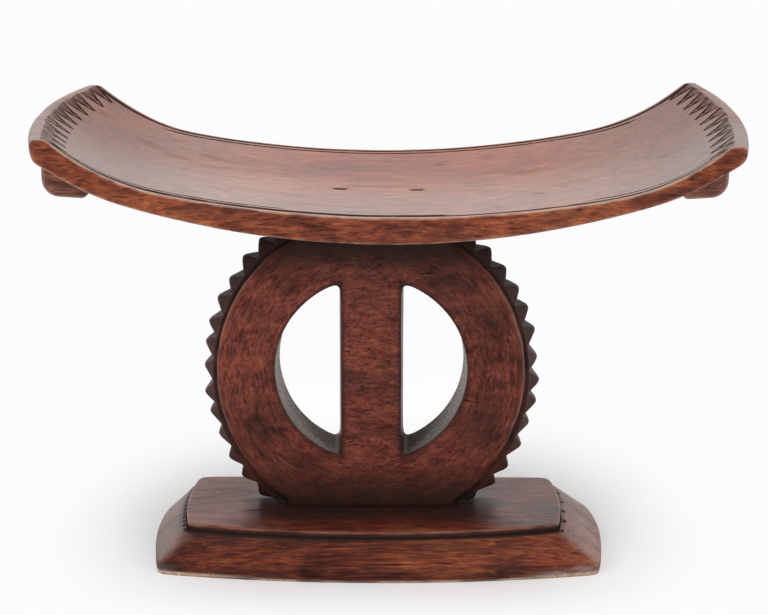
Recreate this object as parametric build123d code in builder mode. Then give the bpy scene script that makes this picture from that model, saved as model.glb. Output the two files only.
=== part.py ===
from build123d import *
import os
from math import asin, atan, cos, degrees, pi, radians, sin

# Asante stool: a saddle seat on an upright toothed wheel, which stands on a plinth and a base.
# Millimetres. +X runs along the seat, +Y to the back, +Z up.
# The origin is the middle of the base's underside.

os.makedirs("parts", exist_ok=True)

# ---------------------------------------------------------------- driving dimensions

# Base: a low block with bowed sides and ends, bevelled up to the plinth
base_length = 351.0  # between the corners, along the seat
base_width = 138.0
base_end_bow = 7.0  # how far each end swells past its corners
base_front_bow = 16.5
base_back_bow = 5.0  # the back is nearly straight
base_edge_height = 11.0  # upright lower edge, below the bevel
base_height = 31.5
base_edge_wear = 1.5  # worn corner under the lower edge

# Plinth: a thin plank, housed in the top of the base and standing a little proud of it
plinth_length = 296.0
plinth_width = 104.0
plinth_end_bow = 5.0
plinth_front_bow = 17.0
plinth_back_bow = 1.0
plinth_rise = 5.0  # above the base
plinth_let_in = 9.0  # into the base
plinth_shift = -4.0  # carved by eye, so each storey sits a little to one side
plinth_edge_round = 1.8
base_ledge = 2.0  # flat of the base that shows all round the plinth

# Wheel: ring, middle post and toothed rim in one piece of wood, a little taller than wide
wheel_height = 248.5  # from the plinth's top to the seat's underside
wheel_thickness = 40.0
wheel_shift = -6.0
wheel_setback = 5.5  # behind the middle of the base
ring_half_width = 124.5
neck_height = 6.5  # between the ring's top and the seat
foot_cut = 17.0  # how much of the ring's bottom the plinth cuts off
neck_length = 96.0
foot_length = 138.0
joint_depth = 3.0  # how deep the wheel's flat foot and neck are housed

# Openings: two D-shaped windows, one each side of the post, closing in towards the back
opening_radius = 77.0
opening_lift = 3.5  # above the ring's middle
opening_draft = 2.0
post_width = 48.5

# Toothed rim
tooth_count = 45
tooth_height = 9.5
tooth_tip_length = 2.5  # blunt tip, along the rim
tooth_tip_width = 5.0  # blunt tip, across the rim
rim_width = 26.0
rim_side_overhang = 12.0  # teeth past the ring, at the sides
rim_end_overhang = 16.0  # and at the top and bottom
rim_drop = 2.5  # below the ring's middle
rim_clearance = 2.5  # between the last teeth and the plinth

# Seat: the saddle curve of the top is flatter in the middle than towards the ends
seat_width = 239.0
seat_setback = -3.0  # its middle, from the middle of the base
seat_front_length = 517.0
seat_middle_length = 543.0  # the ends swell outwards
seat_back_length = 516.0
seat_shift = 7.5
seat_twist = 0.55  # degrees, the front edge one way and the back edge the other
seat_thickness = 20.5
saddle_radius = 900.0
saddle_half_span = 160.0
underside_radius = 660.0
underside_half_span = 195.0
nose_rise = 55.0  # from the middle of the saddle to the flat top of the raised end
nose_flat = 12.0  # width of that flat top
nose_brow_round = 3.5  # along both edges of the flat top
nose_height = 15.0  # upright outer face, down to the heel
nose_lean = 2.0  # how far the heel lies inside the end
nose_heel_round = 8.0
nose_run = 13.5  # straight run from the heel in under the seat
nose_top_run = 9.0  # and from the flat top down into the saddle
nose_top_slope = 38.0  # degrees
nose_under_slope = 32.0
seat_edge_wear = 1.0

# Lugs: a rounded grip under each end of the seat
lug_width = 70.0
lug_foot_length = 32.0
lug_height = 63.0  # from the top of the seat's raised end down to the lug's foot
lug_depth = 25.0  # of the wall that leans in under the seat
lug_lift = 2.0  # the foot's outer end lies a little higher
lug_inset = 7.0  # inside the seat's end
lug_outer_round = 14.0
lug_inner_round = 4.0
lug_corner_round = 10.0
lug_shift = -2.5  # the pair, from the middle of the seat

# Pegs and fits
peg_radius = 7.5
peg_spacing = 59.6
peg_grip = 30.0  # length of each peg inside the wheel
peg_cover = 7.0  # wood left above each peg, which doesn't show on the seat's top
base_peg_sink = 1.0  # kept off the floor
lug_peg_radius = 5.0
lug_peg_grip = 9.0  # half the length of each lug's peg
lug_peg_cover = 19.0  # from the top of the seat's raised end down to the peg
fit_gap = 0.15  # round every housing and peg
seating_gap = 0.25  # under the curved seat

# ---------------------------------------------------------------- derived heights and places

plinth_outline = (plinth_length, plinth_width, plinth_end_bow, plinth_front_bow, plinth_back_bow)
plinth_bottom = base_height - plinth_let_in
plinth_top = base_height + plinth_rise
foot_bottom = plinth_top - joint_depth
seat_under = plinth_top + wheel_height
neck_top = seat_under + joint_depth
seat_top = seat_under + seat_thickness

ring_half_height = (wheel_height - neck_height + foot_cut) / 2
ring_centre = seat_under - neck_height - ring_half_height
opening_centre = ring_centre + opening_lift
rim_centre = ring_centre - rim_drop
rim_half_width = ring_half_width + rim_side_overhang
rim_half_height = ring_half_height + rim_end_overhang
wheel_back = wheel_setback + wheel_thickness / 2

nose_top = nose_rise + seat_top
peg_top = seat_top - peg_cover

seat_front = seat_setback - seat_width / 2
seat_back = seat_setback + seat_width / 2
peg_places = [(-peg_spacing / 2, wheel_setback), (peg_spacing / 2, wheel_setback)]


def upright_plane(x, y, height=0.0, tilt=0.0):
    """Plane that faces the front, with its own y axis pointing up, and may be tilted sideways."""
    turn = radians(tilt)
    return Plane(origin=(x, y, height), x_dir=(cos(turn), 0, sin(turn)), z_dir=(0, -1, 0))


class BowedRectangle(BaseSketchObject):
    """A rectangle whose four sides swell outwards as shallow arcs."""

    def __init__(self, length, width, end_bow, front_bow, back_bow, grow=0.0, mode=Mode.ADD):
        x = length / 2 + grow
        y = width / 2 + grow
        with BuildSketch() as outline:
            with BuildLine():
                ThreePointArc((-x, -y), (0, -y - front_bow), (x, -y))
                ThreePointArc((x, -y), (x + end_bow, 0), (x, y))
                ThreePointArc((x, y), (0, y + back_bow), (-x, y))
                ThreePointArc((-x, y), (-x - end_bow, 0), (-x, -y))
            make_face()
        super().__init__(obj=outline.sketch, rotation=0, align=None, mode=mode)


class SeatSection(BaseSketchObject):
    """The seat cut along its length: saddle curve above, bow below, a blunt nose at each end."""

    def __init__(self, length, mode=Mode.ADD):
        saddle_angle = degrees(asin(saddle_half_span / saddle_radius))
        under_angle = degrees(asin(underside_half_span / underside_radius))
        under_centre = (0, underside_radius - seat_thickness)
        rise = (cos(radians(nose_top_slope)), sin(radians(nose_top_slope)))
        fall = (-cos(radians(nose_under_slope)), -sin(radians(nose_under_slope)))
        end = length / 2
        crest = (end - nose_flat, nose_rise)
        brow = (end, nose_rise)
        heel = (end - nose_lean, nose_rise - nose_height)
        inner_top = (crest[0] - nose_top_run * rise[0], crest[1] - nose_top_run * rise[1])
        inner_foot = (heel[0] + nose_run * fall[0], heel[1] + nose_run * fall[1])
        with BuildSketch() as outline:
            with BuildLine():
                saddle = CenterArc((0, saddle_radius), saddle_radius, -90, saddle_angle)
                under = CenterArc(under_centre, underside_radius, under_angle - 90, -under_angle)
                Spline(saddle @ 1, inner_top, tangents=[saddle % 1, rise])
                Polyline(inner_top, crest, brow, heel, inner_foot)
                Spline(inner_foot, under @ 0, tangents=[fall, under % 0])
                mirror(about=Plane.YZ)
            make_face()
            corners = outline.vertices()
            low = nose_rise - nose_height
            fillet(corners.filter_by_position(Axis.Y, low - 0.1, low + 0.1), nose_heel_round)
            fillet(outline.vertices().group_by(Axis.Y)[-1], nose_brow_round)
        super().__init__(obj=outline.sketch, rotation=0, align=None, mode=mode)


class ToothedOutline(BaseSketchObject):
    """Outline of the rim: blunt teeth evenly spaced round an upright oval."""

    def __init__(self, mode=Mode.ADD):
        pitch = 2 * pi / tooth_count
        tip_half_angle = tooth_tip_length / (rim_half_width + rim_half_height)
        corners = []
        for tooth in range(tooth_count):
            middle = pi + tooth * pitch  # the first tooth points left
            for angle, depth in (
                (middle - pitch / 2, tooth_height),
                (middle - tip_half_angle, 0.0),
                (middle + tip_half_angle, 0.0),
            ):
                x = (rim_half_width - depth) * cos(angle)
                y = (rim_half_height - depth) * sin(angle)
                corners.append((x, y))
        with BuildSketch() as outline:
            with BuildLine():
                Polyline(*corners, close=True)
            make_face()
        super().__init__(obj=outline.sketch, rotation=0, align=None, mode=mode)


# ---------------------------------------------------------------- base

with BuildPart() as base:
    with BuildSketch():
        BowedRectangle(base_length, base_width, base_end_bow, base_front_bow, base_back_bow)
    extrude(amount=base_edge_height)
    # The bevel rises from the upright edge to a narrow ledge round the plinth
    with BuildSketch(Plane.XY.offset(base_edge_height)):
        BowedRectangle(base_length, base_width, base_end_bow, base_front_bow, base_back_bow)
    with BuildSketch(Plane.XY.offset(base_height)):
        with Locations((plinth_shift, 0)):
            BowedRectangle(*plinth_outline, base_ledge)
    loft()
    chamfer(base.edges().group_by(Axis.Z)[0], base_edge_wear)
    # Recess that the plinth drops into
    with BuildSketch(Plane.XY.offset(plinth_bottom)):
        with Locations((plinth_shift, 0)):
            BowedRectangle(*plinth_outline, fit_gap)
    extrude(amount=plinth_let_in, mode=Mode.SUBTRACT)
    with BuildSketch():
        with Locations(*peg_places):
            Circle(peg_radius + fit_gap)
    extrude(amount=base_height, mode=Mode.SUBTRACT)

base.part.label = "base"
export_step(base.part, "parts/base.step")

# ---------------------------------------------------------------- plinth

with BuildPart() as plinth:
    with BuildSketch(Plane.XY.offset(plinth_bottom)):
        with Locations((plinth_shift, 0)):
            BowedRectangle(*plinth_outline)
    extrude(amount=plinth_let_in + plinth_rise)
    fillet(plinth.edges().group_by(Axis.Z)[-1], plinth_edge_round)
    # Housing for the wheel's foot
    with BuildSketch(Plane.XY.offset(foot_bottom)):
        with Locations((wheel_shift, wheel_setback)):
            Rectangle(foot_length + 2 * fit_gap, wheel_thickness + 2 * fit_gap)
    extrude(amount=joint_depth, mode=Mode.SUBTRACT)
    with BuildSketch(Plane.XY.offset(plinth_bottom)):
        with Locations(*peg_places):
            Circle(peg_radius + fit_gap)
    extrude(amount=plinth_let_in + plinth_rise, mode=Mode.SUBTRACT)

plinth.part.label = "plinth"
export_step(plinth.part, "parts/plinth.step")

# ---------------------------------------------------------------- seat, before its joints are cut

with BuildPart() as seat_blank:
    for y, length, tilt in (
        (seat_front, seat_front_length, -seat_twist),
        (seat_setback, seat_middle_length, 0.0),
        (seat_back, seat_back_length, seat_twist),
    ):
        with BuildSketch(upright_plane(seat_shift, y, seat_top, tilt)):
            SeatSection(length)
    loft()
    long_faces = seat_blank.faces().sort_by(Axis.Y)
    chamfer(long_faces[0].edges() + long_faces[-1].edges(), seat_edge_wear)

# ---------------------------------------------------------------- toothed rim

# The teeth are a gear outline, kept under a roof so that each one is a blunt pyramid
with BuildPart() as toothed_rim:
    ridge = tooth_tip_width / 2
    eaves = rim_width / 2
    for y, depth in ((-eaves, tooth_height), (-ridge, 0.0), (ridge, 0.0), (eaves, tooth_height)):
        with BuildSketch(upright_plane(wheel_shift, wheel_setback + y)):
            with Locations((0, rim_centre)):
                Ellipse(rim_half_width - depth, rim_half_height - depth)
    loft(ruled=True)
    with BuildSketch(upright_plane(wheel_shift, wheel_setback + eaves)):
        with Locations((0, rim_centre)):
            ToothedOutline()
    extrude(amount=rim_width, mode=Mode.INTERSECT)
    split(bisect_by=Plane.XY.offset(plinth_top + rim_clearance), keep=Keep.TOP)

# ---------------------------------------------------------------- wheel

with BuildPart() as wheel:
    with BuildSketch(upright_plane(wheel_shift, wheel_back)):
        with Locations((0, ring_centre)):
            Ellipse(ring_half_width, ring_half_height)
    extrude(amount=wheel_thickness)
    add(toothed_rim.part)
    # The ring and the rim stop at the plinth and just short of the curved seat
    split(bisect_by=Plane.XY.offset(plinth_top), keep=Keep.TOP)
    with Locations((0, 0, -seating_gap)):
        add(seat_blank.part, mode=Mode.SUBTRACT)
    # Square foot and neck, housed in the plinth and in the seat
    with BuildSketch(upright_plane(wheel_shift, wheel_back)):
        with Locations((0, foot_bottom)):
            Rectangle(foot_length, ring_centre - foot_bottom, align=(Align.CENTER, Align.MIN))
        with Locations((0, neck_top)):
            Rectangle(neck_length, neck_top - ring_centre, align=(Align.CENTER, Align.MAX))
    extrude(amount=wheel_thickness)
    # Openings, cut wider at the front than at the back
    with BuildSketch(upright_plane(wheel_shift, wheel_back)):
        with Locations((0, opening_centre)):
            Circle(opening_radius - opening_draft)
            Rectangle(post_width + 2 * opening_draft, 2 * opening_radius, mode=Mode.SUBTRACT)
    extrude(
        amount=wheel_thickness,
        taper=-degrees(atan(opening_draft / wheel_thickness)),
        mode=Mode.SUBTRACT,
    )
    # Blind holes for the pegs, from below and from above
    for height, depth in ((foot_bottom, joint_depth + peg_grip), (neck_top, -joint_depth - peg_grip)):
        with BuildSketch(Plane.XY.offset(height)):
            with Locations(*peg_places):
                Circle(peg_radius + fit_gap)
        extrude(amount=depth, mode=Mode.SUBTRACT)

wheel.part.label = "wheel"
export_step(wheel.part, "parts/wheel.step")

# ---------------------------------------------------------------- seat

lug_centre = seat_shift + lug_shift
lug_outer = seat_middle_length / 2 - lug_inset
lug_inner = lug_outer - lug_foot_length
lug_bottom = nose_top - lug_height
lug_peg_reach = (lug_outer + lug_inner) / 2
lug_peg_top = nose_top - lug_peg_cover
lug_peg_places = [
    (lug_centre - lug_peg_reach, seat_setback),
    (lug_centre + lug_peg_reach, seat_setback),
]

with BuildPart() as seat:
    add(seat_blank.part)
    # Flat-bottomed housing for the wheel's neck
    with BuildSketch(Plane.XY.offset(neck_top)):
        with Locations((wheel_shift, wheel_setback)):
            Rectangle(neck_length + 2 * fit_gap, wheel_thickness + 2 * fit_gap)
    extrude(amount=-seat_thickness, mode=Mode.SUBTRACT)
    with BuildSketch(Plane.XY.offset(neck_top)):
        with Locations(*peg_places):
            Circle(peg_radius + fit_gap)
    extrude(amount=peg_top - neck_top, mode=Mode.SUBTRACT)
    with BuildSketch(Plane.XY.offset(lug_peg_top)):
        with Locations(*lug_peg_places):
            Circle(lug_peg_radius + fit_gap)
    extrude(amount=-2 * lug_peg_grip, mode=Mode.SUBTRACT)

seat.part.label = "seat"
export_step(seat.part, "parts/seat.step")

# ---------------------------------------------------------------- lugs

for name, side in (("lug_left", -1), ("lug_right", 1)):
    with BuildPart() as lug:
        # Foot with a rounded outer end, and an inner end that leans in under the seat
        with BuildSketch(upright_plane(lug_centre, seat_setback + lug_width / 2)) as side_view:
            outer_top = (side * lug_outer, nose_top - nose_height)
            outer_foot = (side * lug_outer, lug_bottom + lug_lift)
            inner_foot = (side * lug_inner, lug_bottom)
            inner_top = (side * (lug_inner - lug_depth), lug_bottom + lug_depth)
            with BuildLine():
                Polyline(outer_top, outer_foot, inner_foot, inner_top, close=True)
            make_face()
            feet = side_view.vertices().sort_by(Axis.Y)
            fillet(feet[1], lug_outer_round)
            fillet(feet[0], lug_inner_round)
        extrude(amount=lug_width)
        upright_edges = lug.edges().filter_by(Axis.Z).group_by(Axis.X)
        fillet(upright_edges[-1] if side > 0 else upright_edges[0], lug_corner_round)
        # The seat's underside shapes the lug's top
        with Locations((0, 0, -seating_gap)):
            add(seat_blank.part, mode=Mode.SUBTRACT)
        with BuildSketch(Plane.XY.offset(lug_peg_top - 2 * lug_peg_grip)):
            with Locations(*lug_peg_places):
                Circle(lug_peg_radius + fit_gap)
        extrude(amount=2 * lug_peg_grip, mode=Mode.SUBTRACT)

    lug.part.label = name
    export_step(lug.part, f"parts/{name}.step")

# ---------------------------------------------------------------- pegs

with BuildPart() as lug_pegs:
    with BuildSketch(Plane.XY.offset(lug_peg_top - 2 * lug_peg_grip)):
        with Locations(*lug_peg_places):
            Circle(lug_peg_radius)
    extrude(amount=2 * lug_peg_grip)

lug_pegs.part.label = "lug_pegs"
export_step(lug_pegs.part, "parts/lug_pegs.step")

with BuildPart() as seat_pegs:
    with BuildSketch(Plane.XY.offset(seat_under - peg_grip)):
        with Locations(*peg_places):
            Circle(peg_radius)
    extrude(amount=peg_top - seating_gap - seat_under + peg_grip)

seat_pegs.part.label = "seat_pegs"
export_step(seat_pegs.part, "parts/seat_pegs.step")

with BuildPart() as base_pegs:
    with BuildSketch(Plane.XY.offset(base_peg_sink)):
        with Locations(*peg_places):
            Circle(peg_radius)
    extrude(amount=plinth_top + peg_grip - base_peg_sink)

base_pegs.part.label = "base_pegs"
export_step(base_pegs.part, "parts/base_pegs.step")
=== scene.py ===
from math import asin, atan2, cos, pi, radians, sin, sqrt, tan

import bmesh
import bpy
import numpy as np
from mathutils import Matrix, Vector, kdtree, noise
from mathutils.geometry import delaunay_2d_cdt


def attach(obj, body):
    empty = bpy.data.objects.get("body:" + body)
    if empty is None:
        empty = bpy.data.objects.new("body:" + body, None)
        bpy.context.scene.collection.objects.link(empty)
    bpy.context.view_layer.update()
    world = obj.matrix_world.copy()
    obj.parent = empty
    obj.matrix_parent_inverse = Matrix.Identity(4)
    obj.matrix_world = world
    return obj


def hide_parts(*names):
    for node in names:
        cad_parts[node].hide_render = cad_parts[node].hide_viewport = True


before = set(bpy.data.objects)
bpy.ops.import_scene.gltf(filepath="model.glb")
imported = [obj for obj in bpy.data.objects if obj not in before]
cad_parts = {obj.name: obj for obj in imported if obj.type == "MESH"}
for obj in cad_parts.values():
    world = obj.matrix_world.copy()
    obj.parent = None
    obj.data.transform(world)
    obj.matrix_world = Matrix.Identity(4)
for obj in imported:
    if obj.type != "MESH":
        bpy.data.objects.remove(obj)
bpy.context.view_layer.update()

# ---------------------------------------------------------------- base

# The base is one low block of the same dark hardwood as the rest, hewn with an adze and scraped.
# Its sides and ends swell outwards, and a bevel climbs from the upright edge to the plinth.
# The plinth drops into a recess in its top, and two pegs come up through it.

MM = 0.001  # sizes below are in millimetres
FIT = 0.15  # play left round every housing and peg
SHARP_TURN = radians(42)
PEG_RADIUS = 7.5
SETBACK = 5.5  # the wheel stands a little behind the middle of the base
PEG_PLACES = ((-29.8, SETBACK), (29.8, SETBACK))
BASE_OUTLINE = (351.0, 138.0, 7.0, 16.5, 5.0)  # length, width, swell of the ends, front and back
BASE_EDGE = 11.0
BASE_TOP = 31.5
PLINTH_OUTLINE = (296.0, 104.0, 5.0, 17.0, 1.0)
PLINTH_SHIFT = -4.0
PLINTH_BOTTOM = 22.5
LEDGE = 2.0
STAB_DEPTH = 5.5  # below the base's top, of the points of the stab marks


def bowed_outline(sizes, grow=0.0, shift=0.0):
    """The outline of a storey seen from above: four corners joined by shallow arcs."""
    length, width, end_bow, front_bow, back_bow = sizes
    x, y = length / 2 + grow, width / 2 + grow

    def swell(half, bow, count):
        radius = (half * half + bow * bow) / (2 * bow)
        reach = asin(half / radius)
        for step in range(count):
            angle = reach * (2 * step / count - 1)
            yield radius * sin(angle), radius * cos(angle) - radius + bow

    end = list(swell(y, end_bow, 40))
    loop = [(along, -y - out) for along, out in swell(x, front_bow, 96)]
    loop += [(x + out, along) for along, out in end]
    loop += [(-along, y + out) for along, out in swell(x, back_bow, 96)]
    loop += [(-x - out, -along) for along, out in end]
    return np.array(loop) + (shift, 0.0)


def circle(centre, radius, steps=36):
    """A round hole's outline."""
    turn = np.linspace(0, 2 * pi, steps, endpoint=False)
    return np.column_stack((centre[0] + radius * np.cos(turn), centre[1] + radius * np.sin(turn)))


def eased(loop, passes=3):
    """The same closed outline with its corners worn round."""
    for _ in range(passes):
        loop = (np.roll(loop, 1, 0) + 2 * loop + np.roll(loop, -1, 0)) / 4
    return loop


def hewn(loop, passes):
    """A storey's outline: crisp corners in front, and rounder ones at the back."""
    front = eased(loop)
    share = np.clip((front[:, 1:] - 5.0) / 30.0, 0, 1)
    return front + share * (eased(loop, passes) - front)


def inset(loop, distance):
    """A closed outline moved to its own left, which is inwards for one that runs anticlockwise."""
    before = loop - np.roll(loop, 1, 0)
    after = np.roll(loop, -1, 0) - loop
    before /= np.linalg.norm(before, axis=1)[:, None]
    after /= np.linalg.norm(after, axis=1)[:, None]
    normal = np.column_stack((-(before + after)[:, 1], (before + after)[:, 0]))
    length = np.linalg.norm(normal, axis=1)[:, None]
    return loop + normal / length * np.reshape(distance, (-1, 1)) / np.maximum(length / 2, 0.6)


def inside(points, loops):
    """True for each point that lies in an odd number of the closed outlines."""
    odd = np.zeros(len(points), bool)
    x, y = points[:, 0], points[:, 1]
    for loop in loops:
        for (x1, y1), (x2, y2) in zip(loop, np.roll(loop, -1, 0)):
            if y1 != y2:
                crossed = (y1 > y) != (y2 > y)
                odd ^= crossed & (x < (x2 - x1) * (y - y1) / (y2 - y1) + x1)
    return odd


def groove_depth(points, cuts):
    """How far each point lies inside the V of the nearest knife cut, in millimetres."""
    depth = np.zeros(len(points))
    for cut in cuts:
        for start, end in zip(cut[:-1], cut[1:]):
            run = end[:2] - start[:2]
            along = np.clip((points - start[:2]) @ run / (run @ run), 0, 1)
            gap = np.linalg.norm(points - start[:2] - along[:, None] * run, axis=1)
            depth = np.maximum(depth, start[2] + along * (end[2] - start[2]) - gap)
    return depth


def filled(loops, spacing, cuts=()):
    """Triangles that fill an outline less its holes. Knife cuts keep their own lines in the mesh."""
    points = [tuple(p) for loop in loops for p in loop]
    lines = []
    start = 0
    for loop in loops:
        lines += [(start + i, start + (i + 1) % len(loop)) for i in range(len(loop))]
        start += len(loop)
    for cut in cuts:
        run = np.gradient(cut[:, :2], axis=0)
        across = np.column_stack((-run[:, 1], run[:, 0])) / np.linalg.norm(run, axis=1)[:, None]
        for side in (-1, 0, 1):
            lines += [(len(points) + i, len(points) + i + 1) for i in range(len(cut) - 1)]
            points += [tuple(p) for p in cut[:, :2] + side * across * cut[:, 2:]]
    taken = kdtree.KDTree(len(points))
    for i, (u, v) in enumerate(points):
        taken.insert((u, v, 0), i)
    taken.balance()
    low, high = np.min(loops[0], 0), np.max(loops[0], 0)
    rows = np.arange(low[1], high[1], spacing * 0.87)
    columns = np.arange(low[0], high[0], spacing)
    grid = np.array([(u + spacing / 2 * (r % 2), v) for r, v in enumerate(rows) for u in columns])
    grid = grid[inside(grid, loops)]
    grid = [(u, v) for u, v in grid if taken.find((u, v, 0))[2] > spacing * 0.6]
    flat, _, faces, *_ = delaunay_2d_cdt([Vector(p) for p in points + grid], lines, [], 1, 1e-5)
    flat = np.array([tuple(p) for p in flat])
    faces = np.array([tuple(f) for f in faces if len(f) == 3])
    return flat, faces[inside(flat[faces].mean(1), loops)]


def placed(name, data):
    """A mesh, a light or a camera as an object of the scene."""
    piece = bpy.data.objects.new(name, data)
    bpy.context.scene.collection.objects.link(piece)
    return piece


def drawn(name, points, edges=(), faces=()):
    """A new object of points, and of the edges or faces between them."""
    mesh = bpy.data.meshes.new(name)
    mesh.from_pydata(points, edges, faces)
    return placed(name, mesh)


def level(loop, height):
    """A flat outline lifted to a height."""
    return np.column_stack((loop, np.full(len(loop), height)))


class Carving:
    """A piece gathered from walls between rings and faces inside outlines, in millimetres."""

    def __init__(self):
        self.points, self.cuts, self.faces, self.count = [], [], [], 0

    def add(self, points, faces, depth=None):
        self.points.append(points)
        self.cuts.append(np.zeros(len(points)) if depth is None else depth)
        self.faces += (np.asarray(faces) + self.count).tolist()
        self.count += len(points)

    def walls(self, rings, closed=True):
        """Quads between rings that have as many points each."""
        here = np.arange(len(rings) * len(rings[0])).reshape(len(rings), -1)
        after = np.roll(here, -1, 1)
        faces = np.stack((here[:-1], after[:-1], after[1:], here[1:]), 2)
        if not closed:
            faces = faces[:, :-1]
        self.add(np.concatenate(rings), faces.reshape(-1, 4))

    def face(self, loops, place, spacing, cuts=(), outward=(0, 0, 1)):
        """A flat or bowed face inside an outline, with knife cuts sunk into it."""
        flat, faces = filled(loops, spacing, cuts)
        depth = groove_depth(flat, cuts)
        self.add(place(flat) - depth[:, None] * np.array(outward), faces, depth)

    def shelf(self, loops, height, spacing, cuts=()):
        """A level face at a height."""
        self.face(loops, lambda flat: level(flat, height), spacing, cuts)

    def shaft(self, loop, start, end):
        """The upright walls of a hole or a housing."""
        self.walls([level(loop, start), level(loop, end)])

    def finish(self, name, wobble, still=lambda point: 1.0):
        """One closed mesh, its faces outwards, scraped a little hollow here and there."""
        piece = drawn(name, np.concatenate(self.points).tolist(), faces=self.faces)
        note(piece, "cut", np.concatenate(self.cuts))
        shape = bmesh.new()
        shape.from_mesh(piece.data)
        bmesh.ops.remove_doubles(shape, verts=shape.verts, dist=0.004)
        bmesh.ops.recalc_face_normals(shape, faces=shape.faces)
        shape.normal_update()
        moves = []
        for vert in shape.verts:
            broad = 0.5 + 0.5 * noise.noise(vert.co / 38)
            fine = 0.5 + 0.5 * noise.noise(vert.co / 11 + Vector((7, 3, 5)))
            moves.append(vert.normal * (0.75 * broad + 0.25 * fine) * wobble * still(vert.co))
        for vert, move in zip(shape.verts, moves):
            vert.co = (vert.co - move) * MM
        shape.to_mesh(piece.data)
        shape.free()
        return piece


def read(items, key, width, kind=float):
    """One value of every point or edge of a mesh, in rows."""
    values = np.empty(len(items) * width, kind)
    items.foreach_get(key, values)
    return values.reshape(-1, width)


def places(piece):
    """Where a piece's points lie, in millimetres."""
    return read(piece.data.vertices, "co", 3) / MM


def ramp(value, low, high):
    """0 below one value, 1 above the other and a smooth climb between them."""
    t = np.clip((value - low) / (high - low), 0, 1)
    return t * t * (3 - 2 * t)


def spotted(across, up, spots):
    """The strongest of some soft spots: each has a middle, two half widths and a strength."""
    falls = [k * np.exp(-(((across - u) / a) ** 2) - ((up - v) / b) ** 2) for u, v, a, b, k in spots]
    return np.max(falls, 0)


def note(piece, name, values):
    """Keeps one number on each point of a piece, for its material."""
    kept = piece.data.attributes.get(name) or piece.data.attributes.new(name, "FLOAT", "POINT")
    kept.data.foreach_set("value", np.asarray(values, float))


def crisp(piece):
    """Shades a piece smooth but for the arrises that are still sharp."""
    piece.data.set_sharp_from_angle(angle=SHARP_TURN)


def note_arris_turn(piece):
    """Keeps on each point how sharply the wood turns there: 1 on a rounded arris, -1 in a hollow."""
    mesh = piece.data
    count = len(mesh.vertices)
    place, normal = read(mesh.vertices, "co", 3), read(mesh.vertex_normals, "vector", 3)
    a, b = read(mesh.edges, "vertices", 2, int).T
    apart = place[a] - place[b]
    square = np.maximum((apart * apart).sum(1), 1e-10)
    links = np.bincount(a, minlength=count) + np.bincount(b, minlength=count)
    turn = np.bincount(a, 2 * (normal[a] * apart).sum(1) / square, count)
    turn -= np.bincount(b, 2 * (normal[b] * apart).sum(1) / square, count)
    turn = np.clip(turn / links / 500, -1, 1)
    for _ in range(2):
        shared = np.bincount(a, turn[b], count) + np.bincount(b, turn[a], count)
        turn = (turn + shared / links) / 2
    note(piece, "turn", turn)
    return turn


class Value:
    """A number that varies over a surface, so that masks can be written as sums."""

    def __init__(self, tree, socket):
        self.tree, self.socket = tree, socket

    def beside(self, name):
        """Another output of the same node."""
        return Value(self.tree, self.socket.node.outputs[name])

    def maths(self, operation, *others):
        return node(self.tree, "ShaderNodeMath", {"operation": operation}, dict(enumerate((self, *others))))

    def __add__(self, other):
        return self.maths("ADD", other)

    def __sub__(self, other):
        return self.maths("SUBTRACT", other)

    def __rsub__(self, other):
        return node(self.tree, "ShaderNodeMath", {"operation": "SUBTRACT"}, {0: other, 1: self})

    def __mul__(self, other):
        return self.maths("MULTIPLY", other)

    def __truediv__(self, other):
        return self.maths("DIVIDE", other)

    __radd__ = __add__
    __rmul__ = __mul__


def node(tree, kind, settings=None, sockets=None, output=0):
    """Adds a node, sets it up, then fills its sockets with numbers, colours or links."""
    made = tree.nodes.new(kind)
    for key, value in (settings or {}).items():
        if key == "stops":
            stops = made.color_ramp.elements
            while len(stops) < len(value):
                stops.new(1.0)
            for stop, (position, colour) in zip(stops, value):
                stop.position, stop.color = position, (*colour, 1)
        else:
            setattr(made, key, value)
    for key, value in (sockets or {}).items():
        if isinstance(key, int):
            socket = made.inputs[key]
        else:
            socket = next(s for s in made.inputs if key in (s.identifier, s.name))
        if isinstance(value, Value):
            tree.links.new(value.socket, socket)
        elif socket.type == "RGBA":
            socket.default_value = (*value, 1)
        else:
            socket.default_value = value
    outputs = {s.identifier: s for s in made.outputs}
    return Value(tree, outputs[output] if output in outputs else made.outputs[output])


def between(value, low, high, to_low=0.0, to_high=1.0):
    """A smooth climb from one number to another while a value goes from low to high."""
    sockets = {"Value": value, "From Min": low, "From Max": high, "To Min": to_low, "To Max": to_high}
    return node(value.tree, "ShaderNodeMapRange", {"interpolation_type": "SMOOTHSTEP"}, sockets)


def mix(share, first, second, kind="Color"):
    """A mixture of two colours, or of two places where the kind is Vector."""
    sockets = {"Factor_Float": share, f"A_{kind}": first, f"B_{kind}": second}
    data_type = "RGBA" if kind == "Color" else "VECTOR"
    return node(share.tree, "ShaderNodeMix", {"data_type": data_type}, sockets, f"Result_{kind}")


def either(share, first, second):
    """The first surface where the share is 0, the second where it is 1."""
    return node(share.tree, "ShaderNodeMixShader", sockets={0: share, 1: first, 2: second})


def cleared(owner):
    """The node tree of a material or of the world, emptied."""
    owner.use_nodes = True
    owner.node_tree.nodes.clear()
    return owner.node_tree


def shown(surface, output="ShaderNodeOutputMaterial"):
    """Ends a material or the world with what it shows."""
    surface.tree.links.new(surface.socket, surface.tree.nodes.new(output).inputs["Surface"])


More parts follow.
